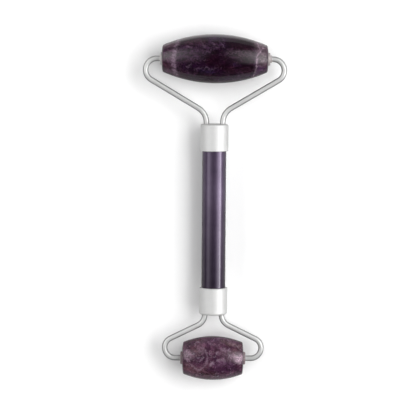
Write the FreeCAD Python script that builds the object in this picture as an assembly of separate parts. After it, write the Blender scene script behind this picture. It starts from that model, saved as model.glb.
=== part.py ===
import FreeCAD, Part
import math
import os

# Two-ended facial massage roller: a handle with a wire fork and a barrel
# roller at each end, the large roller at +Y and the small one at -Y.
# Frame, millimetres: the origin is on the handle's axis at the middle of the
# handle. +Y runs along the handle towards the large roller, +X (right) runs
# along the roller axles, +Z is up, square to the plane of the two wire forks.
# Handle and fork parts are made for the +Y end; the small ones are mirrored.

Vector = FreeCAD.Vector
ORIGIN = Vector(0, 0, 0)
X_AXIS = Vector(1, 0, 0)
Y_AXIS = Vector(0, 1, 0)

TOLERANCE = 1e-4           # for picking edges by place and radius
CUT_OVERRUN = 1.0          # cutters run this far past the faces they open

# ---------------------------------------------------------------- dimensions
# handle sleeve
grip_d = 10.0
grip_visible = 57.4        # length showing between the ferrules
grip_bore_d = 3.4          # clearance hole for the tie rod
grip_chamfer = 0.25
grip_end_gap = 0.05        # between the sleeve's end and the anchor plug

# ferrules, the metal cups on both ends of the handle
ferrule_d = 11.75
ferrule_len = 11.3
ferrule_end_wall = 1.3     # thickness of the closed end
ferrule_socket_d = grip_d + 0.04
ferrule_nose_r = 0.9       # rounding of the closed end
ferrule_mouth_chamfer = 0.22
wire_hole_d = 2.7          # holes in the closed end, a loose fit on the wire
wire_hole_chamfer = 0.18

# anchor plug inside each ferrule, holds the two wire legs and the tie rod
plug_d = grip_d
plug_len = 4.7
plug_gap = 0.05            # seating gap at the ferrule's closed end
plug_chamfer = 0.3
leg_in_plug = 3.9          # how far each wire leg reaches into the plug

# tie rod through the handle
rod_d = 3.0
rod_core_d = 2.5           # its ends, reduced to the thread core
rod_in_plug = 3.6          # how far the rod reaches into each plug
rod_hole_spare = 0.4       # hole depth left beyond the rod's tip
rod_chamfer = 0.3

# fork wire
wire_d = 2.3
wire_tip_chamfer = 0.35
wire_end_float = 0.05      # wire tip to bush floor

# roller stones: features common to both
end_dome = 0.4             # the seat stands this far out from the side's end
dome_mid_drop = 0.36       # share of end_dome already lost at the arc's mid point
dome_mid_shift = 0.2       # that point lies this far outside the mean radius
end_seat_d = 5.9           # flat seat for the bush flange

# bushes in the roller ends
bush_spigot_d = 4.0
bush_spigot_len = 6.6
bush_flange_d = 5.4
bush_flange_t = 0.85
bush_flange_r = 0.45       # rounding of the flange's outer edge
bush_clearance = 0.05      # bore to wire, all round
bush_bore_d = wire_d + 2 * bush_clearance
bush_floor_t = 0.8         # closed bottom that takes the wire's end thrust
bush_nose_d = 3.1          # spacer nose beyond the flange
bush_nose_len = 0.7
bush_nose_r = 0.2          # rounding of the nose's outer edge
bush_nose_overlap = 0.2    # how far the nose starts inside the flange
stone_bore_d = bush_spigot_d + 0.02

# Forks, one per end of the handle:
#   leg_x       wire legs, each side of the centre line
#   axis_out    ferrule's closed face to the roller axis
#   arm_deg     arm's angle from the roller axis
#   arm_meet    where the two arm lines cross, beyond the closed face
#   outer_r     centre-line radius of the bend at the roller
#   inner_r     centre-line radius of the bend at the ferrule
forks = {
    "large": dict(leg_x=3.4, axis_out=27.1, arm_deg=30.7, arm_meet=2.5,
                  outer_r=4.75, inner_r=7.0),
    "small": dict(leg_x=3.5, axis_out=18.65, arm_deg=26.0, arm_meet=1.65,
                  outer_r=4.37, inner_r=5.2),
}

# Rollers: length, middle diameter, radius of the barrel's arc side, rounding
# where the side meets the end face, and whether the right bush has a nose.
rollers = {
    "large": dict(length=44.2, diameter=20.4, side_r=53.5, edge_r=0.9, nose=True),
    "small": dict(length=25.7, diameter=18.4, side_r=32.5, edge_r=0.8, nose=False),
}

# ------------------------------------------------- stations along +Y
mouth_y = grip_visible / 2                   # open end of a ferrule
face_y = mouth_y + ferrule_len               # closed outer face of a ferrule
socket_end = face_y - ferrule_end_wall       # bottom of the socket
plug_outer = socket_end - plug_gap
plug_inner = plug_outer - plug_len
leg_start_y = plug_outer - leg_in_plug


# ------------------------------------------------------------------- helpers
def save(shape, node):
    shape.exportStep("parts/%s.step" % node)


def cylinder_x(diameter, x_start, x_end):
    return Part.makeCylinder(diameter / 2, x_end - x_start, Vector(x_start, 0, 0), X_AXIS)


def cylinder_y(diameter, y_start, y_end, x=0):
    return Part.makeCylinder(diameter / 2, y_end - y_start, Vector(x, y_start, 0), Y_AXIS)


def near(value, target):
    return abs(value - target) < TOLERANCE


def circles(shape, test):
    """Circular edges whose centre and radius pass the test."""
    return [edge for edge in shape.Edges
            if isinstance(edge.Curve, Part.Circle)
            and test(edge.Curve.Center, edge.Curve.Radius)]


def polar(radius, angle):
    return Vector(math.cos(angle), math.sin(angle), 0) * radius


def flip_x(shape):
    return shape.mirror(ORIGIN, X_AXIS)


def flip_y(shape):
    return shape.mirror(ORIGIN, Y_AXIS)


# ---------------------------------------------------------------- the handle
def make_grip():
    end = plug_inner - grip_end_gap
    grip = cylinder_y(grip_d, -end, end)
    grip = grip.makeChamfer(grip_chamfer, circles(grip, lambda centre, radius: True))
    return grip.cut(cylinder_y(grip_bore_d, -end - CUT_OVERRUN, end + CUT_OVERRUN))


def make_rod():
    tip = plug_inner + rod_in_plug
    rod = cylinder_y(rod_d, -plug_inner, plug_inner)
    rod = rod.fuse(cylinder_y(rod_core_d, -tip, tip)).removeSplitter()
    ends = circles(rod, lambda centre, radius: near(abs(centre.y), tip))
    return rod.makeChamfer(rod_chamfer, ends)


def make_ferrule(leg_x):
    """Cup with a rounded closed end and two wire holes."""
    cup = cylinder_y(ferrule_d, mouth_y, face_y)
    nose = circles(cup, lambda centre, radius: near(centre.y, face_y))
    cup = cup.makeFillet(ferrule_nose_r, nose)
    cup = cup.cut(cylinder_y(ferrule_socket_d, mouth_y - CUT_OVERRUN, socket_end))
    mouth = circles(cup, lambda centre, radius:
                    near(centre.y, mouth_y) and near(radius, ferrule_d / 2))
    cup = cup.makeChamfer(ferrule_mouth_chamfer, mouth)
    for x in (-leg_x, leg_x):
        cup = cup.cut(cylinder_y(wire_hole_d, socket_end - CUT_OVERRUN,
                                 face_y + CUT_OVERRUN, x))
    rims = circles(cup, lambda centre, radius:
                   near(centre.y, face_y) and near(radius, wire_hole_d / 2))
    return cup.makeChamfer(wire_hole_chamfer, rims)


def make_plug(leg_x):
    """Disc with a blind rod hole in its inner face and two leg holes in its outer."""
    plug = cylinder_y(plug_d, plug_inner, plug_outer)
    plug = plug.makeChamfer(plug_chamfer, circles(plug, lambda centre, radius: True))
    plug = plug.cut(cylinder_y(rod_core_d, plug_inner - CUT_OVERRUN,
                               plug_inner + rod_in_plug + rod_hole_spare))
    for x in (-leg_x, leg_x):
        plug = plug.cut(cylinder_y(wire_d, leg_start_y, plug_outer + CUT_OVERRUN, x))
    return plug


# -------------------------------------------------------------------- forks
def make_wire(leg_x, axis_out, arm_deg, arm_meet, outer_r, inner_r, tip_x):
    """Right-hand wire: leg, bend, arm, bend, stub axle pointing back inwards."""
    arm_angle = math.radians(arm_deg)
    slope = math.tan(arm_angle)
    meet_y = face_y + arm_meet
    axis_y = face_y + axis_out
    leg_start = Vector(leg_x, leg_start_y, 0)

    # bend at the ferrule: tangent to the leg and to the arm
    corner = Vector(leg_x, meet_y + slope * leg_x, 0)
    turn = math.pi / 2 - arm_angle
    tangent_len = inner_r * math.tan(turn / 2)
    inner_start = Vector(leg_x, corner.y - tangent_len, 0)
    inner_centre = inner_start + Vector(inner_r, 0, 0)
    inner_mid = inner_centre + polar(inner_r, math.pi - turn / 2)
    inner_end = corner + polar(tangent_len, arm_angle)

    # bend at the roller: tangent to the arm and to the axle
    outer_y = axis_y - outer_r
    outer_x = (outer_y - meet_y - outer_r / math.cos(arm_angle)) / slope
    outer_centre = Vector(outer_x, outer_y, 0)
    outer_start = outer_centre + polar(outer_r, arm_angle - math.pi / 2)
    outer_mid = outer_centre + polar(outer_r, arm_angle / 2)
    outer_end = Vector(outer_x, axis_y, 0)

    path = Part.Wire([
        Part.makeLine(leg_start, inner_start),
        Part.Arc(inner_start, inner_mid, inner_end).toShape(),
        Part.makeLine(inner_end, outer_start),
        Part.Arc(outer_start, outer_mid, outer_end).toShape(),
        Part.makeLine(outer_end, Vector(tip_x, axis_y, 0)),
    ])
    profile = Part.Wire([Part.makeCircle(wire_d / 2, leg_start, Y_AXIS)])
    wire = path.makePipeShell([profile], True, True)
    tip = circles(wire, lambda centre, radius:
                  near(centre.x, tip_x) and near(centre.y, axis_y))
    return wire.makeChamfer(wire_tip_chamfer, tip)


# ------------------------------------------------------------------ rollers
def bush_floor_x(length):
    """Where the blind bore of the right-hand bush ends."""
    return length / 2 - bush_spigot_len + bush_floor_t


def make_stone(length, diameter, side_r, edge_r):
    """Barrel turned about X: seat, domed end face, rounded edge, arc side."""
    seat_x = length / 2
    edge_x = seat_x - end_dome               # where the end face meets the side
    mid_r = diameter / 2
    end_r = mid_r - (side_r - math.sqrt(side_r ** 2 - edge_x ** 2))
    seat_r = end_seat_d / 2
    bore_r = stone_bore_d / 2
    dome_x = seat_x - end_dome * dome_mid_drop
    dome_r = (seat_r + end_r) / 2 + dome_mid_shift

    def line(start, end):
        return Part.makeLine(Vector(*start), Vector(*end))

    def arc(start, middle, end):
        return Part.Arc(Vector(*start), Vector(*middle), Vector(*end)).toShape()

    outline = Part.Wire([
        line((-seat_x, bore_r), (seat_x, bore_r)),
        line((seat_x, bore_r), (seat_x, seat_r)),
        arc((seat_x, seat_r), (dome_x, dome_r), (edge_x, end_r)),
        arc((edge_x, end_r), (0, mid_r), (-edge_x, end_r)),
        arc((-edge_x, end_r), (-dome_x, dome_r), (-seat_x, seat_r)),
        line((-seat_x, seat_r), (-seat_x, bore_r)),
    ])
    stone = Part.Face(outline).revolve(ORIGIN, X_AXIS, 360)
    corners = circles(stone, lambda centre, radius:
                      near(abs(centre.x), edge_x) and near(radius, end_r))
    return stone.makeFillet(edge_r, corners)


def make_bush(length, nose):
    """Right-hand bush: spigot in the stone, rounded flange outside, blind bore."""
    seat_x = length / 2
    outer_x = seat_x + bush_flange_t
    bush = cylinder_x(bush_flange_d, seat_x, outer_x)
    rim = circles(bush, lambda centre, radius: near(centre.x, outer_x))
    bush = bush.makeFillet(bush_flange_r, rim)
    if nose:
        nose_tip = outer_x + bush_nose_len
        spacer = cylinder_x(bush_nose_d, outer_x - bush_nose_overlap, nose_tip)
        rim = circles(spacer, lambda centre, radius: near(centre.x, nose_tip))
        bush = bush.fuse(spacer.makeFillet(bush_nose_r, rim))
        outer_x = nose_tip
    bush = bush.fuse(cylinder_x(bush_spigot_d, seat_x - bush_spigot_len, seat_x))
    bush = bush.removeSplitter()
    return bush.cut(cylinder_x(bush_bore_d, bush_floor_x(length), outer_x + CUT_OVERRUN))


# -------------------------------------------------------------------- build
os.makedirs("parts", exist_ok=True)
save(make_grip(), "handle_grip")
save(make_rod(), "tie_rod")

for size in ("large", "small"):
    fork = forks[size]
    roller = rollers[size]
    length = roller["length"]

    ferrule = make_ferrule(fork["leg_x"])
    plug = make_plug(fork["leg_x"])
    wire = make_wire(tip_x=bush_floor_x(length) + wire_end_float, **fork)
    axis_y = face_y + fork["axis_out"]
    if size == "small":
        ferrule, plug, wire = flip_y(ferrule), flip_y(plug), flip_y(wire)
        axis_y = -axis_y
    save(ferrule, size + "_ferrule")
    save(plug, size + "_anchor_plug")
    save(wire, size + "_fork_wire_right")
    save(flip_x(wire), size + "_fork_wire_left")

    # roller parts are made about the X axis, then moved to the roller axis
    roller_parts = {
        "roller_stone": make_stone(length, roller["diameter"], roller["side_r"],
                                   roller["edge_r"]),
        "bush_right": make_bush(length, roller["nose"]),
        "bush_left": flip_x(make_bush(length, False)),
    }
    for name, part in roller_parts.items():
        part.translate(Vector(0, axis_y, 0))
        save(part, "%s_%s" % (size, name))
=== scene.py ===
# A two-ended massage roller lying on a white floor. The lacquered grip runs along Y, with a fork at
# each end: the large amethyst barrel at the +Y end, the small one at the -Y end. Both barrels turn
# about axles along X (right is +X). +Z is up.
import math

import bmesh
import bpy
import numpy as np
from mathutils import Matrix, Vector


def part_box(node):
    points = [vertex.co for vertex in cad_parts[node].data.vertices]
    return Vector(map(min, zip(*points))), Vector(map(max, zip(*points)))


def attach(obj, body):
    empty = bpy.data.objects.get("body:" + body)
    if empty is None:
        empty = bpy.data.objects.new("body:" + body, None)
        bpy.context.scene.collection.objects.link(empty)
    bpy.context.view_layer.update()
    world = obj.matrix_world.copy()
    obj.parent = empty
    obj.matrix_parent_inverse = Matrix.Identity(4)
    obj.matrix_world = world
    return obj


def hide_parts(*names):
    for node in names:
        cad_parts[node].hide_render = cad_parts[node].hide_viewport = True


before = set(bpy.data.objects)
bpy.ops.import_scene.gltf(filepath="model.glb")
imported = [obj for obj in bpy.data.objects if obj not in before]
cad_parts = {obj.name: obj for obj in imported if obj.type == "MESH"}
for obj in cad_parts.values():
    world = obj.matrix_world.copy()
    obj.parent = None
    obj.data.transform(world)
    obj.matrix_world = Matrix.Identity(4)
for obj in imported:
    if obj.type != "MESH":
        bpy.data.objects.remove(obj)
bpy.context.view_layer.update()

MM = 0.001
scene = bpy.context.scene
scene.view_settings.view_transform = "Standard"
scene.view_settings.look = "None"


# ------------------------------------------------------------- node helpers
class Graph:
    """Short names for the nodes of one tree. A value may be a number, a colour or an output."""

    def __init__(self, tree):
        self.tree = tree

    def put(self, socket, value):
        if isinstance(value, bpy.types.NodeSocket):
            self.tree.links.new(value, socket)
            return
        if isinstance(value, tuple) and len(value) == 3 and socket.type == "RGBA":
            value = (*value, 1.0)
        socket.default_value = value

    def node(self, kind, inputs=(), **settings):
        """Add a node. inputs is a sequence in socket order, or a dict by socket name or number."""
        node = self.tree.nodes.new("ShaderNode" + kind)
        for key, value in settings.items():
            setattr(node, key, value)
        for key, value in inputs.items() if isinstance(inputs, dict) else enumerate(inputs):
            self.put(node.inputs[key], value)
        return node

    def math(self, operation, *values, clamp=False):
        return self.node("Math", values, operation=operation, use_clamp=clamp).outputs[0]

    def add(self, *values, clamp=False):
        return self.math("ADD", *values, clamp=clamp)

    def sub(self, *values):
        return self.math("SUBTRACT", *values)

    def mul(self, *values, clamp=False):
        return self.math("MULTIPLY", *values, clamp=clamp)

    def step(self, value, over, to=(0.0, 1.0)):
        """Smooth step: as value crosses the span over, the result goes between the two of to."""
        settings = {"interpolation_type": "SMOOTHSTEP"}
        return self.node("MapRange", (value, *over, *to), **settings).outputs[0]

    def ramp(self, value, stops, interpolation="LINEAR"):
        """Colour ramp through (position, colour) stops."""
        node = self.node("ValToRGB", (value,))
        node.color_ramp.interpolation = interpolation
        elements = node.color_ramp.elements
        while len(elements) < len(stops):
            elements.new(0.5)
        for element, (position, colour) in zip(elements, stops):
            element.position = position
            element.color = (*colour, 1.0)
        return node.outputs[0]


class Shader(Graph):
    """A material being built.

    pos is the position in mm, fixed to the piece, where textures are read unless at is given.
    colour is the base colour so far.
    """

    def __init__(self, name):
        self.material = bpy.data.materials.new(name)
        self.material.use_nodes = True
        super().__init__(self.material.node_tree)
        self.tree.nodes.clear()
        self.out = self.node("OutputMaterial")
        self.pos = self.scaled(self.node("TexCoord").outputs["Object"], 1.0 / MM)
        self.colour = None

    def vector(self, operation, *values):
        node = self.node("VectorMath", values, operation=operation)
        scalar = operation in ("LENGTH", "DISTANCE", "DOT_PRODUCT")
        return node.outputs["Value" if scalar else 0]

    def scaled(self, vector, factor):
        inputs = {0: vector, "Scale": factor}
        return self.node("VectorMath", inputs, operation="SCALE").outputs[0]

    def stretched(self, factors, at=None):
        return self.vector("MULTIPLY", at or self.pos, factors)

    def moved(self, offset):
        return self.vector("ADD", self.pos, offset)

    def split(self):
        return self.node("SeparateXYZ", (self.pos,)).outputs[:3]

    def noise(self, scale, detail=3.0, rough=0.5, at=None, output=0):
        inputs = {"Vector": at or self.pos, "Scale": scale, "Detail": detail, "Roughness": rough}
        return self.node("TexNoise", inputs).outputs[output]

    def centred(self, scale, detail, rough, at=None):
        """Vector noise around zero."""
        colour = self.noise(scale, detail, rough, at, output="Color")
        return self.vector("SUBTRACT", colour, (0.5, 0.5, 0.5))

    def warp(self, scale, amount, detail=2.0, at=None):
        """The place at, pushed about by noise by up to half of amount mm."""
        push = self.scaled(self.centred(scale, detail, 0.5, at), amount)
        return self.vector("ADD", at or self.pos, push)

    def jitter(self, value, noise, amount):
        return self.add(value, self.mul(self.sub(noise, 0.5), amount))

    def voronoi(self, scale, at=None, feature="F1"):
        inputs = {"Vector": at or self.pos, "Scale": scale}
        return self.node("TexVoronoi", inputs, feature=feature).outputs["Distance"]

    def spots(self, scale, edge, zone_scale, zone, at=None):
        """Scattered dots, kept only where a broad noise lies beyond the span zone."""
        dots = self.step(self.voronoi(scale, at), over=edge)
        return self.mul(dots, self.step(self.noise(zone_scale, detail=2.0), over=zone))

    def contour(self, field, level, over):
        """Thin lines where field passes through level."""
        return self.step(self.math("ABSOLUTE", self.sub(field, level)), over=over)

    def tint(self, colour, mask, amount=None):
        """Mix a colour over the one so far, where mask is 1."""
        if amount is not None:
            mask = self.mul(mask, amount)
        inputs = {0: mask, 6: self.colour, 7: colour}
        self.colour = self.node("Mix", inputs, data_type="RGBA").outputs[2]

    def bump(self, height, distance_mm, strength):
        inputs = {"Strength": strength, "Distance": distance_mm * MM, "Height": height}
        return self.node("Bump", inputs).outputs[0]

    def principled(self, **values):
        inputs = {key.replace("_", " "): value for key, value in values.items()}
        node = self.node("BsdfPrincipled", {"Base Color": self.colour, **inputs})
        self.put(self.out.inputs[0], node.outputs[0])
        return node.outputs[0]


def show_with(obj, material):
    obj.data.materials.clear()
    obj.data.materials.append(material)


# ---------------------------------------------------------- plain materials
def lacquer():
    """Dark purple metallic lacquer under a clear coat, with faint orange peel and wiping marks."""
    mat = Shader("purple_lacquer")
    drift = mat.noise(scale=0.10, at=mat.warp(scale=0.08, amount=5.0))
    tones = mat.ramp(drift, [(0.30, (0.083, 0.059, 0.103)), (0.52, (0.107, 0.077, 0.132)),
                             (0.75, (0.134, 0.099, 0.163))])
    # painted shade: the lacquer darkens towards the small roller's end (-Y), to a little under half
    # of its tone at the large end, standing in for light falling off along the grip
    y = mat.split()[1]
    mat.colour = mat.scaled(tones, mat.step(y, over=(-34.0, 24.0), to=(0.48, 1.20)))
    pearl = mat.noise(scale=9.0, detail=2.0, rough=0.6)
    mat.tint((0.15, 0.115, 0.18), mat.step(pearl, over=(0.58, 0.80), to=(0.0, 0.14)))
    peel = mat.noise(scale=0.9, detail=2.0)
    fine = mat.noise(scale=5.0, rough=0.6, at=mat.stretched((1.0, 0.12, 1.0)))
    streaks = mat.stretched((2.2, 0.10, 2.2), at=mat.warp(scale=0.3, amount=1.2))
    wipe = mat.noise(scale=2.2, detail=5.0, rough=0.7, at=streaks)
    gloss = mat.add(0.035, mat.step(wipe, over=(0.55, 0.80), to=(0.0, 0.07)))
    coat_height = mat.add(peel, mat.mul(fine, 0.10))
    mat.principled(
        Metallic=0.80, Roughness=mat.step(fine, over=(0.3, 0.7), to=(0.36, 0.43)),
        IOR=1.45, Specular_IOR_Level=0.1, Normal=mat.bump(fine, distance_mm=0.006, strength=0.3),
        Coat_Weight=1.0, Coat_Roughness=gloss, Coat_IOR=1.5,
        Coat_Normal=mat.bump(coat_height, distance_mm=0.010, strength=0.6))
    return mat.material


def satin_metal(name, base, rough, along, grain, metal=1.0, edge=1.0):
    """Satin metal: brushed grain along one axis, soft cloudy wear and a few handling marks.

    edge scales the colour where the surface turns away from the eye, as painted shade at the rims.
    """
    mat = Shader(name)
    stretch = tuple(0.06 if axis == along else 1.0 for axis in "XYZ")
    brushed = mat.noise(scale=grain, detail=4.0, rough=0.65, at=mat.stretched(stretch))
    grit = mat.noise(scale=grain * 1.7, detail=2.0)
    cloud = mat.noise(scale=0.35, detail=4.0, rough=0.55, at=mat.warp(scale=0.25, amount=2.0))
    rubbed = mat.stretched((1.0, 0.35, 1.0), at=mat.warp(scale=0.8, amount=0.8))
    marks = mat.step(mat.noise(scale=1.6, detail=6.0, rough=0.75, at=rubbed), over=(0.66, 0.76))
    tone = mat.add(0.94, mat.mul(cloud, 0.10))
    tone = mat.mul(tone, mat.step(brushed, over=(0.2, 0.8), to=(0.965, 1.02)))
    if edge < 1.0:
        # painted shade: the colour darkens towards the rims, where the surface turns away from the
        # eye
        facing = mat.node("LayerWeight", {"Blend": 0.5}).outputs["Facing"]
        tone = mat.mul(tone, mat.step(facing, over=(0.05, 0.42), to=(1.0, edge)))
    mat.colour = mat.scaled(base, tone)
    mat.tint(tuple(channel * 0.72 for channel in base), marks, amount=0.18)
    roughness = mat.add(rough - 0.05, mat.mul(cloud, 0.10))
    roughness = mat.jitter(roughness, brushed, amount=0.12)
    roughness = mat.add(roughness, mat.mul(marks, 0.06), clamp=True)
    height = mat.add(brushed, mat.mul(grit, 0.4))
    mat.principled(Metallic=metal, Roughness=roughness,
                   Normal=mat.bump(height, distance_mm=0.012, strength=0.35))
    return mat.material


def nylon():
    """Milky natural nylon, slightly see-through, with faint flow marks."""
    mat = Shader("milky_nylon")
    flow = mat.noise(scale=1.4, at=mat.stretched((0.4, 1.0, 1.0)))
    mat.colour = mat.ramp(flow, [(0.3, (0.200, 0.155, 0.170)), (0.7, (0.300, 0.245, 0.255))])
    # the two outermost bushes are clearer than the rest, the left one most of all
    x = mat.split()[0]
    tone = mat.step(flow, over=(0.32, 0.68), to=(0.88, 1.08))
    mat.tint(mat.scaled((0.43, 0.385, 0.385), tone), mat.step(x, over=(17.0, 19.5)))
    mat.tint(mat.scaled((0.62, 0.60, 0.60), tone), mat.step(x, over=(-17.0, -19.5)))
    fine = mat.noise(scale=8.0, rough=0.6)
    mat.principled(
        Roughness=mat.step(fine, over=(0.3, 0.7), to=(0.34, 0.46)), IOR=1.53,
        Subsurface_Weight=0.45, Subsurface_Radius=(1.0, 0.8, 0.75), Subsurface_Scale=0.0012,
        Normal=mat.bump(fine, distance_mm=0.008, strength=0.4))
    return mat.material


# ---------------------------------------------------------- stone materials
# Marks on a stone are placed by (along the axle, arc round the stone) in mm, the arc 0 at the top
# and growing towards +Y.
def arc_round(mat, y, z, radius):
    return mat.mul(mat.math("ARCTAN2", y, z), radius)


def around_plane(mat, radius, coarse, fine):
    """(along, arc, 0), roughened by coarse and fine mm so that edges look broken."""
    x, y, z = mat.split()
    place = mat.node("CombineXYZ", (x, arc_round(mat, y, z, radius), 0.0)).outputs[0]
    for scale, amount in ((0.45, coarse), (1.7, fine)):
        push = mat.centred(scale, detail=3.0, rough=0.6)
        push = mat.vector("MULTIPLY", push, (amount, amount, 0.0))
        place = mat.vector("ADD", place, push)
    return place


def line_distance(mat, place, points):
    """Distance in mm from place to a polyline in the (along, arc) plane."""
    nearest = None
    for start, end in zip(points, points[1:]):
        run = (end[0] - start[0], end[1] - start[1], 0.0)
        offset = mat.vector("SUBTRACT", place, (*start, 0.0))
        travel = mat.vector("DOT_PRODUCT", offset, run)
        travel = mat.mul(travel, 1.0 / (run[0] * run[0] + run[1] * run[1]), clamp=True)
        gap = mat.vector("DISTANCE", offset, mat.scaled(run, travel))
        nearest = gap if nearest is None else mat.math("MINIMUM", nearest, gap)
    return nearest


def paint_patches(mat, place, mottle, faint, patches):
    """Soft patches along polylines; mottle thins them to the share faint of their amount."""
    for points, width, soft, colour, amount in patches:
        gap = line_distance(mat, place, points)
        mask = mat.step(gap, over=(width + soft, max(width - soft, 0.0)))
        share = mat.step(mottle, over=(0.30, 0.58), to=(amount * faint, amount))
        mat.tint(colour, mask, share)


def paint_seams(mat, place, core, grain, grain_span, faint, seams):
    """Thin seams along polylines, fading out from width - core to width + 0.5 mm.

    grain thins them to the share faint of their amount.
    """
    for points, width, amount, colour in seams:
        gap = line_distance(mat, place, points)
        mask = mat.step(gap, over=(width + 0.50, width - core))
        mat.tint(colour, mask, mat.step(grain, over=grain_span, to=(amount * faint, amount)))


def polished_quartz(mat, pits, dull, sunk, sunk_depth, rough, rough_range, dull_rough,
                    scatter, scatter_radius):
    """Finish a stone: gloss broken by pits and by the mask dull, relief sunk at the mask sunk."""
    smear = mat.noise(scale=2.5, detail=4.0, rough=0.6)
    roughness = mat.add(rough, mat.step(smear, over=(0.40, 0.75), to=(0.0, rough_range)))
    roughness = mat.add(roughness, mat.mul(mat.add(dull, pits), dull_rough), clamp=True)
    height = mat.sub(mat.mul(mat.noise(scale=0.5), 0.8), mat.mul(pits, 0.6))
    height = mat.sub(height, mat.mul(sunk, sunk_depth))
    mat.principled(
        Roughness=roughness, IOR=1.544, Subsurface_Weight=scatter,
        Subsurface_Radius=scatter_radius, Subsurface_Scale=0.0008,
        Normal=mat.bump(height, distance_mm=0.03, strength=0.5))
    return mat.material


# Patches: polyline, half width and softness of the edge in mm, colour, amount.
DARK_PATCHES = [
    ([(-12.2, 3.6), (-7.2, 4.4), (-1.7, 4.6)], 3.4, 1.8, (0.036, 0.0165, 0.036), 0.85),
    ([(-13.1, 1.2), (-6.3, 1.2)], 1.9, 1.3, (0.036, 0.0165, 0.035), 0.80),
    ([(-11.4, 9.3), (-4.7, 7.7)], 1.5, 1.1, (0.046, 0.018, 0.034), 0.60),
    ([(-12.2, -4.0), (-5.1, -3.6), (2.1, -5.7)], 1.9, 0.8, (0.0110, 0.0022, 0.0120), 0.92),
    ([(-2.1, -0.3), (0.8, 1.4), (3.7, -2.9)], 2.3, 0.8, (0.0095, 0.0013, 0.0062), 0.92),
    ([(2.1, 3.1), (2.9, -0.3)], 1.3, 0.7, (0.0110, 0.0022, 0.0100), 0.85),
    ([(-5.5, -5.4), (-1.3, -5.7)], 1.2, 0.9, (0.0165, 0.0080, 0.0290), 0.60),
    ([(5.8, 7.1), (16.3, 7.3)], 1.3, 0.6, (0.0120, 0.0030, 0.0095), 0.85),
    ([(7.1, -5.0), (15.5, -6.4)], 1.9, 0.9, (0.0220, 0.0055, 0.0130), 0.70),
    ([(6.3, 2.6), (14.5, 2.2)], 1.9, 1.2, (0.0420, 0.0210, 0.0350), 0.75),
    ([(2.9, 0.9), (6.3, -0.4), (9.6, -0.4)], 0.75, 0.45, (0.0100, 0.0020, 0.0080), 0.85),
    ([(-21.5, 10.6), (-16.4, 8.9)], 1.9, 1.1, (0.088, 0.038, 0.064), 0.70),
    ([(-21.5, -4.0), (-18.9, -5.4)], 2.0, 1.6, (0.040, 0.0130, 0.0240), 0.65),
    ([(18.9, -1.9), (18.9, -9.8)], 1.4, 1.3, (0.046, 0.0170, 0.055), 0.70),
    ([(18.6, 9.6), (19.8, -2.5)], 2.3, 1.6, (0.140, 0.094, 0.114), 0.85),
]
MAUVE_PATCHES = [
    ([(-11.5, -3.2), (-6.8, -5.1)], 2.2, 1.0, (0.110, 0.052, 0.066), 0.60),
    ([(-11.1, 5.3), (-10.2, 1.0)], 1.3, 0.7, (0.215, 0.145, 0.210), 0.72),
    ([(-12.5, 2.6), (-11.7, -2.6)], 0.55, 0.35, (0.045, 0.016, 0.036), 0.70),
    ([(-6.0, 6.2), (-4.7, 4.2)], 1.1, 0.7, (0.170, 0.110, 0.160), 0.55),
    ([(1.1, -1.4), (4.5, -1.1), (7.9, -1.9)], 1.5, 0.9, (0.080, 0.036, 0.085), 0.60),
    ([(4.5, 5.3), (6.6, 5.0)], 1.0, 0.6, (0.190, 0.130, 0.185), 0.60),
    ([(-1.0, -3.9), (3.7, -4.0), (8.7, -3.7)], 1.35, 0.8, (0.034, 0.0095, 0.034), 0.85),
    ([(-6.0, 0.7), (-4.3, 0.7)], 1.75, 0.55, (0.034, 0.011, 0.032), 0.90),
    ([(-3.1, 9.1), (-1.8, 6.4), (-2.4, 3.7), (-1.6, 1.2)], 0.75, 0.45,
     (0.038, 0.012, 0.034), 0.85),
    ([(-5.4, -6.4), (-2.2, -6.3)], 0.55, 0.90, (0.0190, 0.0040, 0.0070), 0.85),
    ([(-1.2, -4.9), (0.7, -6.5)], 0.65, 0.80, (0.0190, 0.0042, 0.0075), 0.85),
    ([(-11.1, 12.4), (-5.6, 10.8)], 0.7, 0.5, (0.050, 0.024, 0.028), 0.75),
    ([(4.1, 10.5), (6.6, 7.8)], 1.2, 0.7, (0.056, 0.028, 0.036), 0.75),
    ([(0.7, 1.2), (1.6, 0.5)], 0.55, 0.35, (0.030, 0.009, 0.032), 0.80),
    ([(7.9, 8.7), (11.2, 8.4)], 1.3, 0.9, (0.180, 0.110, 0.135), 0.50),
    ([(8.0, 1.8), (10.8, 1.2)], 1.0, 1.6, (0.190, 0.125, 0.182), 0.60),
    # painted highlight: a pale lilac patch on the right end, standing in for a reflection of the
    # lamps
    ([(11.0, 2.8), (11.1, 0.2)], 0.9, 2.0, (0.450, 0.335, 0.445), 0.88),
]

# Seams: polyline, half width in mm, amount, colour.
WISP = (0.19, 0.125, 0.18)
PALE = (0.27, 0.185, 0.245)
DEEP = (0.028, 0.009, 0.024)
DARK_SEAMS = [
    ([(-11.4, 6.4), (-9.7, 4.8)], 0.24, 0.38, WISP),
    ([(-6.1, 8.0), (-5.1, 7.0), (-4.5, 5.2)], 0.22, 0.36, WISP),
    ([(-11.4, -4.1), (-9.9, -2.3)], 0.26, 0.44, WISP),
    ([(-8.4, -5.1), (-7.2, -4.5), (-5.5, -3.9)], 0.20, 0.27, WISP),
    ([(-4.7, -5.1), (-3.6, -3.2), (-2.8, -4.3), (-1.7, -5.0), (0.0, -3.8)], 0.22, 0.30, WISP),
    ([(1.6, 7.9), (2.9, 6.4), (3.7, 4.9)], 0.22, 0.28, WISP),
    ([(-1.3, 7.4), (0.0, 5.6), (1.2, 5.3)], 0.20, 0.28, WISP),
    ([(-3.4, 2.7), (-1.7, 3.7)], 0.22, 0.20, WISP),
    ([(7.1, 2.7), (10.9, 3.4)], 0.18, 0.20, WISP),
]
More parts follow.
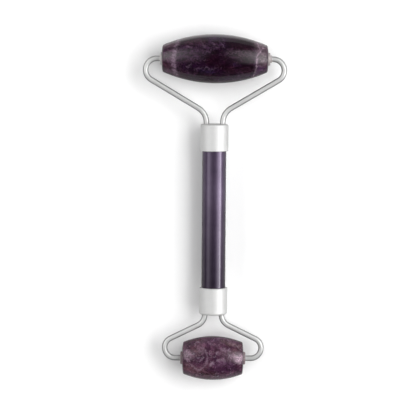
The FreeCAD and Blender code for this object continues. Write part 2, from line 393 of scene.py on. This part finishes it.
MAUVE_SEAMS = [
    ([(-4.3, 6.0), (-3.1, 4.6), (-2.2, 2.0), (-2.4, -0.6), (-3.5, -2.5), (-5.4, -4.2)],
     0.24, 0.42, PALE),
    ([(-8.9, -1.8), (-6.0, -4.9)], 0.22, 0.34, PALE),
    ([(-5.4, 0.0), (-4.1, 1.6)], 0.20, 0.50, PALE),
    ([(-1.4, 9.0), (-0.5, 7.3), (1.6, 6.6), (2.8, 7.9)], 0.20, 0.22, PALE),
    ([(0.3, 2.4), (4.9, 2.0)], 0.20, 0.75, DEEP),
    ([(-1.0, -1.9), (-0.1, -0.6)], 0.42, 0.62, PALE),
    ([(2.0, 0.3), (3.2, 0.7)], 0.45, 0.50, PALE),
    ([(4.3, 0.7), (4.9, 0.0)], 0.42, 0.50, PALE),
    ([(1.8, 3.3), (2.2, 3.7)], 0.36, 0.60, PALE),
    ([(-7.4, -3.6), (-4.9, -4.3)], 0.24, 0.34, PALE),
]
# The thin vein near the right end of the dark stone, and its fork towards +Y.
VEIN = [(15.6, -14.5), (15.9, -12.0), (16.8, -6.1), (17.3, -1.8), (17.4, 1.2), (18.0, 3.4),
        (18.9, 5.2)]
VEIN_FORK = [(17.0, 14.5), (17.4, 12.8), (17.8, 8.7), (18.9, 5.2), (19.9, 8.1)]


def milky_band(mat, x, arc, cloudy):
    """A leaning milky band near the left end, running on round the stone."""
    wave = mat.math("COSINE", mat.mul(mat.sub(arc, -1.5), 0.098))
    across = mat.sub(mat.sub(x, -14.6), mat.mul(wave, -2.4))
    across = mat.jitter(across, mat.noise(scale=0.5, detail=4.0, rough=0.6), amount=1.9)
    across = mat.jitter(across, mat.noise(scale=1.6, rough=0.6), amount=0.6)
    band = mat.mul(mat.step(across, over=(-1.55, -0.45)), mat.step(across, over=(1.40, 0.25)))
    milk = mat.noise(scale=0.8, detail=5.0, rough=0.7, at=cloudy)
    milk = mat.step(milk, over=(0.34, 0.62), to=(0.30, 1.0))
    halo = mat.step(mat.math("ABSOLUTE", across), over=(3.0, 0.8), to=(0.0, 0.28))
    mat.tint((0.10, 0.058, 0.092), halo)
    mat.tint((0.185, 0.122, 0.172), mat.mul(band, milk), amount=0.82)


def forked_vein(mat, x, arc, place, grain):
    """A thin pale vein near the right end, closed round the underside. Returns its mask."""
    trunk_gap = line_distance(mat, place, VEIN)
    fork_gap = line_distance(mat, place, VEIN_FORK)
    across = mat.sub(x, 16.2)
    across = mat.jitter(across, mat.noise(scale=0.35, detail=4.0, rough=0.6), amount=3.0)
    under = mat.mul(mat.step(mat.math("ABSOLUTE", arc), over=(13.0, 15.0)),
                    mat.step(mat.math("ABSOLUTE", across), over=(0.36, 0.10)))
    trunk = mat.step(trunk_gap, over=(0.46, 0.06))
    fork = mat.step(fork_gap, over=(0.70, 0.10))
    halo = mat.step(mat.math("MINIMUM", trunk_gap, fork_gap), over=(1.5, 0.2), to=(0.0, 0.30))
    mat.tint((0.12, 0.080, 0.125), halo)
    mask = mat.math("MAXIMUM", trunk, mat.mul(fork, 0.62))
    mask = mat.math("MAXIMUM", mask, mat.mul(under, 0.7))
    mask = mat.mul(mask, mat.step(grain, over=(0.36, 0.58), to=(0.30, 1.0)))
    mat.tint((0.285, 0.200, 0.250), mask, amount=0.85)
    return mask


def amethyst_dark():
    """Near-black purple quartz with a milky band, a thin pale vein, wisps and flecks."""
    mat = Shader("amethyst_dark")
    radius = 10.2
    x, y, z = mat.split()
    broad = mat.warp(scale=0.10, amount=9.0, detail=3.0)
    cloudy = mat.warp(scale=0.45, amount=2.2, detail=3.0, at=broad)
    patch_place = around_plane(mat, radius, coarse=1.7, fine=0.75)
    seam_place = around_plane(mat, radius, coarse=1.5, fine=0.95)
    fine = mat.noise(scale=1.2, detail=6.0, rough=0.70, at=cloudy)
    grain = mat.noise(scale=2.6, detail=4.0, rough=0.7)

    # ground: aubergine, cloudy, never quite even
    body = mat.noise(scale=0.13, detail=6.0, rough=0.60, at=broad)
    mat.colour = mat.ramp(body, [
        (0.36, (0.0070, 0.0010, 0.0050)), (0.49, (0.0120, 0.0030, 0.0100)),
        (0.60, (0.0220, 0.0080, 0.0200)), (0.76, (0.0440, 0.0210, 0.0410))])
    drift = mat.warp(scale=0.30, amount=4.5, detail=4.0, at=mat.moved((13.0, 5.0, 29.0)))
    smoke = mat.noise(scale=0.24, detail=7.0, rough=0.66, at=drift)
    mat.tint((0.0400, 0.0190, 0.0390), mat.step(smoke, over=(0.52, 0.68), to=(0.0, 0.55)))
    zone = mat.noise(scale=0.09, detail=2.0, at=broad)
    mat.tint((0.0250, 0.0110, 0.0400), mat.step(zone, over=(0.52, 0.68), to=(0.0, 0.40)))
    mat.tint((0.0350, 0.0090, 0.0180), mat.step(zone, over=(0.46, 0.32), to=(0.0, 0.40)))
    # both ends are paler
    ends = mat.step(mat.math("ABSOLUTE", x), over=(15.0, 19.5))
    haze = mat.noise(scale=0.34, detail=6.0, rough=0.68, at=cloudy)
    mat.tint((0.080, 0.037, 0.066), ends, mat.step(haze, over=(0.34, 0.66), to=(0.15, 0.85)))
    paint_patches(mat, patch_place, fine, faint=0.72, patches=DARK_PATCHES)

    # cloudy grain, so that no patch is flat
    mat.tint((0.075, 0.043, 0.070), mat.step(fine, over=(0.57, 0.76), to=(0.0, 0.30)))
    mat.tint((0.0065, 0.0010, 0.0048), mat.step(fine, over=(0.47, 0.30), to=(0.0, 0.62)))
    mat.tint((0.10, 0.062, 0.094), mat.step(grain, over=(0.60, 0.75), to=(0.0, 0.14)))

    # wandering wisps and healed cracks all round the stone
    drift = mat.warp(scale=0.35, amount=3.4, detail=4.0)
    field = mat.noise(scale=0.30, detail=4.0, rough=0.55, at=drift)
    line = mat.contour(field, level=0.5, over=(0.013, 0.002))
    where = mat.step(mat.noise(scale=0.16), over=(0.50, 0.60))
    broken = mat.step(mat.noise(scale=1.1, rough=0.6), over=(0.42, 0.58))
    wisp = mat.mul(mat.mul(line, where), broken)
    mat.tint((0.12, 0.080, 0.115), wisp, amount=0.34)
    field = mat.noise(scale=0.62, at=mat.warp(scale=0.7, amount=1.8, detail=3.0))
    line = mat.contour(field, level=0.52, over=(0.011, 0.002))
    where = mat.noise(scale=0.20, at=mat.moved((31.0, 7.0, 3.0)))
    where = mat.step(where, over=(0.54, 0.62))
    mat.tint((0.13, 0.090, 0.125), mat.mul(line, where), amount=0.26)
    paint_seams(mat, seam_place, core=0.22, grain=grain, grain_span=(0.38, 0.60), faint=0.12,
                seams=DARK_SEAMS)
    fleck = mat.spots(scale=0.55, edge=(0.16, 0.06), zone_scale=0.35, zone=(0.56, 0.63),
                      at=mat.warp(scale=1.2, amount=0.8))
    mat.tint((0.16, 0.115, 0.155), fleck, amount=0.40)

    arc = arc_round(mat, y, z, radius)
    milky_band(mat, x, arc, cloudy)
    vein = forked_vein(mat, x, arc, seam_place, grain)

    # torn streaks and specks that break up every patch
    drift = mat.warp(scale=0.5, amount=2.6, detail=4.0)
    drift = mat.stretched((0.55, 1.25, 1.25), at=drift)
    torn = mat.noise(scale=0.62, detail=8.0, rough=0.74, at=drift)
    speck = mat.noise(scale=1.9, detail=5.0, rough=0.75, at=mat.warp(scale=2.0, amount=0.5))
    depth = mat.mul(mat.step(torn, over=(0.38, 0.62), to=(0.42, 1.50)),
                    mat.step(speck, over=(0.34, 0.66), to=(0.68, 1.30)))
    mat.colour = mat.scaled(mat.colour, mat.mul(depth, 0.88))
    drift = mat.warp(scale=0.6, amount=3.0, detail=4.0, at=mat.moved((7.0, 19.0, 2.0)))
    rust = mat.noise(scale=0.40, detail=6.0, rough=0.6, at=drift)
    rust = mat.contour(rust, level=0.5, over=(0.016, 0.003))
    rust = mat.mul(rust, mat.step(speck, over=(0.42, 0.58)))
    mat.tint((0.062, 0.026, 0.034), rust, amount=0.45)

    pits = mat.spots(scale=1.6, edge=(0.16, 0.05), zone_scale=0.8, zone=(0.56, 0.62))
    return polished_quartz(
        mat, pits, dull=wisp, sunk=mat.add(wisp, vein), sunk_depth=0.15, rough=0.11,
        rough_range=0.07, dull_rough=0.15, scatter=0.05, scatter_radius=(1.0, 0.55, 1.0))


def amethyst_mauve():
    """Lighter, mottled mauve quartz: smoky spots and curved healed cracks, with a painted highlight
    on the right end and painted light on the +Y flank.
    """
    mat = Shader("amethyst_mauve")
    radius = 9.2
    y = mat.split()[1]
    broad = mat.warp(scale=0.16, amount=7.0, detail=3.0)
    cloudy = mat.warp(scale=0.6, amount=2.4, detail=3.0, at=broad)
    patch_place = around_plane(mat, radius, coarse=1.5, fine=0.9)
    seam_place = around_plane(mat, radius, coarse=1.3, fine=0.95)
    fine = mat.noise(scale=1.1, detail=6.0, rough=0.72, at=cloudy)
    grain = mat.noise(scale=2.4, detail=4.0, rough=0.7)

    # ground: mottled mauve with warmer, bluer and smoky zones
    body = mat.noise(scale=0.22, detail=7.0, rough=0.68, at=cloudy)
    mat.colour = mat.ramp(body, [
        (0.36, (0.028, 0.008, 0.023)), (0.46, (0.056, 0.022, 0.046)),
        (0.56, (0.092, 0.044, 0.076)), (0.68, (0.138, 0.078, 0.120)), (0.82, (0.20, 0.130, 0.18))])
    zone = mat.noise(scale=0.12, detail=2.0, at=broad)
    mat.tint((0.100, 0.046, 0.054), mat.step(zone, over=(0.46, 0.32), to=(0.0, 0.45)))
    mat.tint((0.062, 0.034, 0.082), mat.step(zone, over=(0.54, 0.70), to=(0.0, 0.40)))
    drift = mat.warp(scale=0.35, amount=4.0, detail=4.0, at=mat.moved((11.0, 3.0, 17.0)))
    smoke = mat.noise(scale=0.26, detail=6.0, rough=0.62, at=drift)
    mat.tint((0.030, 0.010, 0.030), mat.step(smoke, over=(0.55, 0.70), to=(0.0, 0.75)))
    paint_patches(mat, patch_place, fine, faint=0.70, patches=MAUVE_PATCHES)

    # cloudy grain
    mat.tint((0.200, 0.130, 0.180), mat.step(fine, over=(0.54, 0.72), to=(0.0, 0.55)))
    mat.tint((0.024, 0.0065, 0.020), mat.step(fine, over=(0.48, 0.32), to=(0.0, 0.75)))
    mat.tint((0.24, 0.165, 0.21), mat.step(grain, over=(0.57, 0.72), to=(0.0, 0.30)))
    mat.tint((0.034, 0.010, 0.027), mat.step(grain, over=(0.44, 0.30), to=(0.0, 0.42)))

    # milky cells with dark joints, in zones, and torn specks over everything
    cell = mat.voronoi(scale=0.62, at=mat.warp(scale=0.9, amount=1.3, detail=3.0))
    zone = mat.noise(scale=0.20, at=mat.moved((5.0, 23.0, 9.0)))
    zone = mat.step(zone, over=(0.44, 0.58))
    mat.tint((0.030, 0.0085, 0.024), mat.step(cell, over=(0.42, 0.72), to=(0.0, 0.62)), zone)
    mat.tint((0.240, 0.160, 0.205), mat.step(cell, over=(0.30, 0.05), to=(0.0, 0.36)), zone)
    drift = mat.warp(scale=0.7, amount=2.2, detail=4.0)
    torn = mat.noise(scale=0.75, detail=8.0, rough=0.74, at=drift)
    speck = mat.noise(scale=1.9, detail=5.0, rough=0.75, at=mat.warp(scale=2.0, amount=0.5))
    depth = mat.mul(mat.step(torn, over=(0.38, 0.62), to=(0.58, 1.38)),
                    mat.step(speck, over=(0.34, 0.66), to=(0.74, 1.24)))
    # painted light: the +Y flank is made up to 1.42 times lighter, standing in for light falling on
    # that side
    depth = mat.mul(depth, mat.step(y, over=(4.2, 8.2), to=(1.0, 1.42)))
    warm = (1.03, 0.96, 0.91)
    mat.colour = mat.vector("MULTIPLY", mat.scaled(mat.colour, depth), warm)

    # curved healed cracks all round, then the ones uppermost
    drift = mat.warp(scale=0.28, amount=5.0)
    joint = mat.voronoi(scale=0.17, at=drift, feature="DISTANCE_TO_EDGE")
    crack = mat.mul(mat.step(joint, over=(0.032, 0.006)),
                    mat.step(mat.noise(scale=0.5, rough=0.6), over=(0.48, 0.62)))
    mat.tint((0.23, 0.165, 0.225), crack, amount=0.42)
    paint_seams(mat, seam_place, core=0.20, grain=grain, grain_span=(0.36, 0.60), faint=0.20,
                seams=MAUVE_SEAMS)
    fleck = mat.spots(scale=0.75, edge=(0.18, 0.07), zone_scale=0.45, zone=(0.54, 0.62),
                      at=mat.warp(scale=1.2, amount=0.8))
    mat.tint((0.24, 0.175, 0.235), fleck, amount=0.40)

    pits = mat.spots(scale=1.5, edge=(0.17, 0.05), zone_scale=0.7, zone=(0.52, 0.60))
    return polished_quartz(
        mat, pits, dull=crack, sunk=crack, sunk_depth=0.2, rough=0.12, rough_range=0.09,
        dull_rough=0.16, scatter=0.10, scatter_radius=(1.1, 0.65, 1.0))


# ------------------------------------------------------- the polished stones
# All in mm.
SEAT_R = 2.95       # where the domed end starts
LIP = 0.45          # width of the flat ring inside the seat
BORE_R = 2.01
DOME = 0.4          # how far the end falls back from the seat to its corner
WAVE_DEPTH = 0.035  # deepest polishing waviness


def unit(vector):
    return vector / np.linalg.norm(vector)


def stone_profile(half, belly_r, side_r, edge_r, along):
    """(x, radius) points from the right end's seat, over the side, to the left end's seat."""
    corner_x = half - DOME
    corner_r = belly_r - (side_r - math.sqrt(side_r ** 2 - corner_x ** 2))
    corner = np.array([corner_x, corner_r])
    seat = np.array([half, SEAT_R])
    middle = np.array([half - DOME * 0.36, (SEAT_R + corner_r) / 2 + 0.2])
    # the domed end is a circle through seat, middle and corner
    squares = [middle @ middle - seat @ seat, corner @ corner - seat @ seat]
    dome_c = np.linalg.solve(2 * np.array([middle - seat, corner - seat]), squares)
    dome_r = np.linalg.norm(seat - dome_c)
    # the rounded corner is a circle of edge_r that touches the side and the dome
    side_c = np.array([0.0, belly_r - side_r])
    from_side, from_dome = side_r - edge_r, dome_r - edge_r
    apart = np.linalg.norm(dome_c - side_c)
    axis = (dome_c - side_c) / apart
    foot = (from_side ** 2 - from_dome ** 2 + apart ** 2) / (2 * apart)
    offset = math.sqrt(max(from_side ** 2 - foot ** 2, 0)) * np.array([-axis[1], axis[0]])
    options = [side_c + axis * foot + offset, side_c + axis * foot - offset]
    edge_c = min(options, key=lambda centre: np.linalg.norm(centre - corner))
    on_side = side_c + unit(edge_c - side_c) * side_r
    on_dome = dome_c + unit(edge_c - dome_c) * dome_r

    end = []
    for share in np.linspace(0, 1, 15)[:-1]:
        r = SEAT_R + (on_dome[1] - SEAT_R) * share
        end.append((dome_c[0] + math.sqrt(max(dome_r ** 2 - (r - dome_c[1]) ** 2, 0)), r))
    first = math.atan2(on_dome[1] - edge_c[1], on_dome[0] - edge_c[0])
    last = math.atan2(on_side[1] - edge_c[1], on_side[0] - edge_c[0])
    for share in np.linspace(0, 1, 13)[:-1]:
        angle = first + (last - first) * share
        end.append((edge_c[0] + edge_r * math.cos(angle), edge_c[1] + edge_r * math.sin(angle)))
    reach = math.asin(on_side[0] / side_r)
    side = [(side_r * math.sin(angle), side_c[1] + side_r * math.cos(angle))
            for angle in np.linspace(reach, -reach, along)]
    return end + side + [(-x, r) for x, r in reversed(end)]


def arc_from(turn, angle, radius):
    """Signed arc length from an angle to each point's turn, the short way round."""
    return np.angle(np.exp(1j * (turn - angle))) * radius


def waviness(rng, x, turn):
    """A few smooth waves round and along the side, from 0 to 1."""
    waves = np.zeros_like(x)
    for _ in range(14):
        along_rate, round_rate = rng.uniform(0.06, 0.42), rng.integers(2, 9)
        phase, size = rng.uniform(0, 6.28), rng.uniform(0.4, 1.0)
        bent_x = x * (1 + 0.1 * np.cos(turn))
        waves += size * np.sin(along_rate * bent_x + round_rate * turn + phase)
    return (waves - waves.min()) / (waves.max() - waves.min())


def pit_depth(rng, x, turn, half, radius_at):
    """One shallow oval pit, polished over."""
    pit_x = rng.uniform(-half * 0.93, half * 0.93)
    pit_turn = rng.uniform(0, 2 * math.pi)
    size = rng.uniform(0.20, 0.55)
    aspect = rng.uniform(0.45, 1.0)
    tilt = rng.uniform(0, math.pi)
    du = x - pit_x
    dv = arc_from(turn, pit_turn, radius_at(pit_x))
    long_way = du * math.cos(tilt) + dv * math.sin(tilt)
    short_way = -du * math.sin(tilt) + dv * math.cos(tilt)
    spread = (long_way / size) ** 2 + (short_way / (size * aspect)) ** 2
    return rng.uniform(0.015, 0.05) * np.exp(-spread * 1.8)


def crack_depth(rng, x, turn, half, radius_at):
    """One crack: a wandering line, shallow and narrow, fading at its ends."""
    along = rng.uniform(-half * 0.8, half * 0.8)
    start_turn = rng.uniform(0, 2 * math.pi)
    heading = rng.uniform(0, 2 * math.pi)
    radius = radius_at(along)
    arc = start_turn * radius
    nearest = np.full_like(x, 9.0)
    steps = rng.integers(10, 26)
    for i in range(steps):
        heading += rng.normal(0, 0.22)
        next_along = along + 0.42 * math.cos(heading)
        next_arc = arc + 0.42 * math.sin(heading)
        if abs(next_along) > half * 0.9:
            break
        du, dv = x - along, arc_from(turn, arc / radius, radius)
        run_u, run_v = next_along - along, next_arc - arc
        share = np.clip((du * run_u + dv * run_v) / (run_u * run_u + run_v * run_v), 0, 1)
        gap = np.hypot(du - share * run_u, dv - share * run_v)
        taper = 1.0 - abs(2.0 * i / steps - 1.0) ** 3
        nearest = np.minimum(nearest, gap / max(taper, 0.15))
        along, arc = next_along, next_arc
    return 0.022 * np.exp(-(nearest / 0.16) ** 2)


def build_stone(size, side_r, edge_r, seed, around, along, pits):
    """A turned, hand-polished barrel with a bore, its flaws always cut inwards."""
    low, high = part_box(f"{size}_roller_stone")
    half = (high.x - low.x) / 2 / MM
    belly_r = max((high.z - low.z) / 2 / MM, high.z / MM)
    profile = [(half, BORE_R), (half, SEAT_R - LIP),
               *stone_profile(half, belly_r, side_r, edge_r, along),
               (-half, SEAT_R - LIP), (-half, BORE_R)]
    bore = [(x, BORE_R) for x in np.linspace(-half, half, 14)[1:-1]]
    ring = np.array(profile + bore)
    rows = len(ring)
    leftmost_first = np.array(profile)[::-1]

    def radius_at(place):
        return np.interp(place, leftmost_first[:, 0], leftmost_first[:, 1])

    x = np.repeat(ring[:, 0][:, None], around, 1)
    radius = np.repeat(ring[:, 1][:, None], around, 1)
    turn = np.repeat(np.linspace(0, 2 * math.pi, around, endpoint=False)[None, :], rows, 0)
    rng = np.random.default_rng(seed)
    depth = WAVE_DEPTH * waviness(rng, x, turn)
    for _ in range(pits):
        depth += pit_depth(rng, x, turn, half, radius_at)
    for _ in range(pits // 5):
        depth += crack_depth(rng, x, turn, half, radius_at)
    # the seats and the bore stay true
    radius = radius - depth * np.clip((radius - 3.4) / 1.5, 0, 1)

    verts = np.stack([x, radius * np.cos(turn), radius * np.sin(turn)], -1).reshape(-1, 3) * MM
    faces = []
    for i in range(rows):
        row, next_row = i * around, (i + 1) % rows * around
        for k in range(around):
            after = (k + 1) % around
            faces.append((row + k, next_row + k, next_row + after, row + after))
    name = f"{size}_amethyst_barrel"
    mesh = bpy.data.meshes.new(name)
    mesh.from_pydata([tuple(vert) for vert in verts], [], faces)
    mesh.update()
    bm = bmesh.new()
    bm.from_mesh(mesh)
    bmesh.ops.recalc_face_normals(bm, faces=bm.faces)
    bm.to_mesh(mesh)
    bm.free()
    for polygon in mesh.polygons:
        polygon.use_smooth = True
    obj = bpy.data.objects.new(name, mesh)
    obj.location = (low + high) / 2
    scene.collection.objects.link(obj)
    return obj


large_stone = build_stone("large", side_r=53.5, edge_r=0.9, seed=11, around=320, along=200, pits=46)
small_stone = build_stone("small", side_r=32.5, edge_r=0.8, seed=23, around=288, along=128, pits=34)
for size, stone, slot, make_material in (
        ("large", large_stone, "amethyst_dark", amethyst_dark),
        ("small", small_stone, "amethyst_mauve", amethyst_mauve)):
    show_with(stone, make_material())
    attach(stone, f"{size}_roller")
    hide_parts(f"{size}_roller_stone")

# ----------------------------------------------- finishes on the CAD pieces
SIZES = ("large", "small")
PAIRS = [(size, side) for size in SIZES for side in ("left", "right")]
for names, material in (
        (["handle_grip"], lacquer()),
        ([f"{size}_ferrule" for size in SIZES],
         satin_metal("satin_ferrule", base=(0.69, 0.69, 0.685), rough=0.50, along="Y", grain=6.0,
                     metal=0.42)),
        # the wires get painted shade at their rims through edge
        ([f"{size}_fork_wire_{side}" for size, side in PAIRS],
         satin_metal("satin_wire", base=(0.74, 0.74, 0.735), rough=0.33, along="Y", grain=8.0,
                     metal=0.50, edge=0.40)),
        ([f"{size}_bush_{side}" for size, side in PAIRS], nylon()),
        ([f"{size}_anchor_plug" for size in SIZES],
         satin_metal("turned_brass", base=(0.70, 0.53, 0.26), rough=0.30, along="X", grain=4.0)),
        (["tie_rod"],
         satin_metal("plated_steel", base=(0.55, 0.55, 0.54), rough=0.34, along="Y", grain=6.0))):
    for name in names:
        show_with(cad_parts[name], material)


# -------------------------------------------------------------------- stage
def floor_material():
    """Matt white that fades to pure white far off, and looks darker in reflections."""
    mat = Shader("white_sweep")
    y = mat.split()[1]
    tone = mat.noise(scale=0.02)
    mat.colour = mat.ramp(tone, [(0.3, (0.885, 0.885, 0.885)), (0.7, (0.905, 0.905, 0.905))])
    path = mat.node("LightPath")
    # reflections show the floor dimmed, but brighter in a strip beyond the large roller
    strip = mat.math("MINIMUM", mat.step(y, over=(8.0, 14.0), to=(0.31, 0.80)),
                     mat.step(y, over=(21.0, 41.0), to=(0.80, 0.31)))
    mat.tint(mat.scaled((1.0, 0.985, 0.985), strip), path.outputs["Is Glossy Ray"])
    matt = mat.principled(Roughness=0.9, Specular_IOR_Level=0.1)
    glow = mat.node("Emission", {"Color": (1.0, 1.0, 1.0), "Strength": 1.0}).outputs[0]
    far = mat.step(mat.vector("LENGTH", mat.pos), over=(120.0, 420.0))
    far = mat.mul(far, path.outputs["Is Camera Ray"])
    mat.put(mat.out.inputs[0], mat.node("MixShader", (far, matt, glow)).outputs[0])
    return mat.material


def make_floor():
    """A plane just under both stones, tilted to touch the large and the small one."""
    half = 6.0
    gap = 0.00002
    large_low, large_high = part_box("large_roller_stone")
    small_low, small_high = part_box("small_roller_stone")
    large_y = (large_low.y + large_high.y) / 2
    small_y = (small_low.y + small_high.y) / 2
    large_z = -(large_high.z - large_low.z) / 2
    small_z = -(small_high.y - small_low.y) / 2
    mesh = bpy.data.meshes.new("floor")
    corners = [(-half, -half, 0), (half, -half, 0), (half, half, 0), (-half, half, 0)]
    mesh.from_pydata(corners, [], [(0, 1, 2, 3)])
    material = floor_material()
    floor = bpy.data.objects.new("floor", mesh)
    floor.location = (0, large_y, large_z - gap)
    floor.rotation_euler = (math.atan((large_z - small_z) / (large_y - small_y)), 0, 0)
    scene.collection.objects.link(floor)
    show_with(floor, material)


make_floor()


# ------------------------------------------------------------------- lights
def soft_box(name, zenith, azimuth, size, radiance, rise=None, sides=None):
    """A soft box 0.9 m from the origin and facing it; azimuth 0 is +X, 90 is +Y, in degrees.

    Without rise and sides it lights matt surfaces only. With them it shows in glossy ones only:
    rise is its brightness from the lower edge to the upper one, sides from one end to the other,
    as (place, brightness) stops.
    """
    tilt, turn = math.radians(zenith), math.radians(azimuth)
    outward = Vector((math.sin(tilt) * math.cos(turn), math.sin(tilt) * math.sin(turn),
                      math.cos(tilt))).normalized()
    light = bpy.data.lights.new(name, "AREA")
    light.shape = "RECTANGLE"
    light.size, light.size_y = size
    light.energy = radiance * math.pi * size[0] * size[1]
    if rise:
        light.use_nodes = True
        graph = Graph(light.node_tree)
        emission = next(node for node in graph.tree.nodes if node.type == "EMISSION")
        place = graph.node("NewGeometry").outputs["Parametric"]
        place = graph.node("SeparateXYZ", (place,)).outputs
        levels = [graph.ramp(output, [(at, (level,) * 3) for at, level in stops], "EASE")
                  for stops, output in ((rise, place[1]), (sides, place[0]))]
        graph.put(emission.inputs["Strength"], graph.mul(*levels))
    obj = bpy.data.objects.new(name, light)
    obj.location = outward * 0.9
    obj.rotation_mode = "QUATERNION"
    obj.rotation_quaternion = (-outward).to_track_quat("-Z", "Y")
    obj.visible_camera = False
    if rise:
        obj.visible_diffuse = False
    else:
        obj.visible_glossy = False
    scene.collection.objects.link(obj)


soft_box("key", zenith=38, azimuth=8, size=(1.10, 0.62), radiance=4.35)
soft_box("fill", zenith=58, azimuth=186, size=(1.50, 0.90), radiance=1.55)
soft_box("top_fill", zenith=16, azimuth=50, size=(0.90, 0.90), radiance=1.25)
soft_box("right_softbox", zenith=45, azimuth=18, size=(1.45, 1.20), radiance=2.65,
         rise=[(0.0, 0.40), (0.30, 0.85), (0.46, 1.0), (0.56, 0.88), (0.66, 0.50), (0.78, 0.24),
               (0.90, 0.05), (1.0, 0.0)],
         sides=[(0.0, 0.0), (0.10, 0.34), (0.22, 0.85), (0.32, 1.0), (0.50, 0.92), (0.70, 0.62),
                (0.88, 0.28), (1.0, 0.0)])
soft_box("right_strip", zenith=63, azimuth=-7, size=(0.46, 0.25), radiance=5.6,
         rise=[(0.0, 0.0), (0.15, 0.8), (0.5, 1.0), (0.85, 0.9), (1.0, 0.0)],
         sides=[(0.0, 0.55), (0.32, 1.0), (0.45, 1.0), (0.65, 0.72), (1.0, 0.25)])
soft_box("left_card", zenith=40, azimuth=155, size=(1.45, 1.10), radiance=2.05,
         rise=[(0.0, 0.9), (0.20, 1.0), (0.42, 0.85), (0.56, 0.42), (0.72, 0.16), (0.92, 0.05),
               (1.0, 0.0)],
         sides=[(0.0, 0.0), (0.14, 0.26), (0.30, 0.66), (0.48, 1.0), (0.58, 1.0), (0.74, 0.70),
                (0.88, 0.30), (1.0, 0.0)])


def make_world():
    """White to the camera; otherwise dim, brighter towards +Y and the horizon."""
    world = bpy.data.worlds.new("studio")
    scene.world = world
    world.use_nodes = True
    graph = Graph(world.node_tree)
    graph.tree.nodes.clear()
    out = graph.node("OutputWorld")
    backdrop = graph.node("Background", ((1.0, 1.0, 1.0), 1.0)).outputs[0]
    direction = graph.node("TexCoord").outputs["Generated"]
    direction = graph.node("SeparateXYZ", (direction,)).outputs
    level = graph.mul(graph.step(direction[1], over=(-0.8, 0.8), to=(0.14, 0.24)),
                      graph.step(direction[2], over=(0.15, 0.80), to=(1.0, 0.10)))
    path = graph.node("LightPath").outputs
    # glossy reflections see 60 % less of it
    dimming = graph.math("MULTIPLY_ADD", path["Is Glossy Ray"], -0.60, 1.0)
    level = graph.mul(level, dimming)
    studio = graph.node("Background", ((0.98, 0.985, 1.0), level)).outputs[0]
    mixed = graph.node("MixShader", (path["Is Camera Ray"], studio, backdrop)).outputs[0]
    graph.put(out.inputs[0], mixed)


make_world()


# ------------------------------------------------------------------- camera
def make_camera():
    """Almost straight down, leaning a little towards the large roller's end."""
    aim = Vector((-1.62, 3.94, 0.0))  # mm
    away = 800.0  # mm
    lean, side_lean, roll = 0.0851, -0.0014, 0.00767  # radians: towards +Y, towards +X, about Z
    data = bpy.data.cameras.new("camera")
    camera = bpy.data.objects.new("camera", data)
    scene.collection.objects.link(camera)
    back = Vector((math.sin(side_lean), math.sin(lean) * math.cos(side_lean),
                   math.cos(lean) * math.cos(side_lean)))
    right = Vector((-math.sin(roll), math.cos(roll), 0.0)).cross(back).normalized()
    axes = Matrix((right, back.cross(right), back)).transposed()
    camera.rotation_mode = "QUATERNION"
    camera.rotation_quaternion = axes.to_quaternion()
    camera.location = (aim + back * away) * MM
    data.sensor_fit = "HORIZONTAL"
    data.sensor_width = 36.0
    data.lens = 163.73
    data.clip_start = 0.01
    data.clip_end = 20.0
    scene.camera = camera


make_camera()
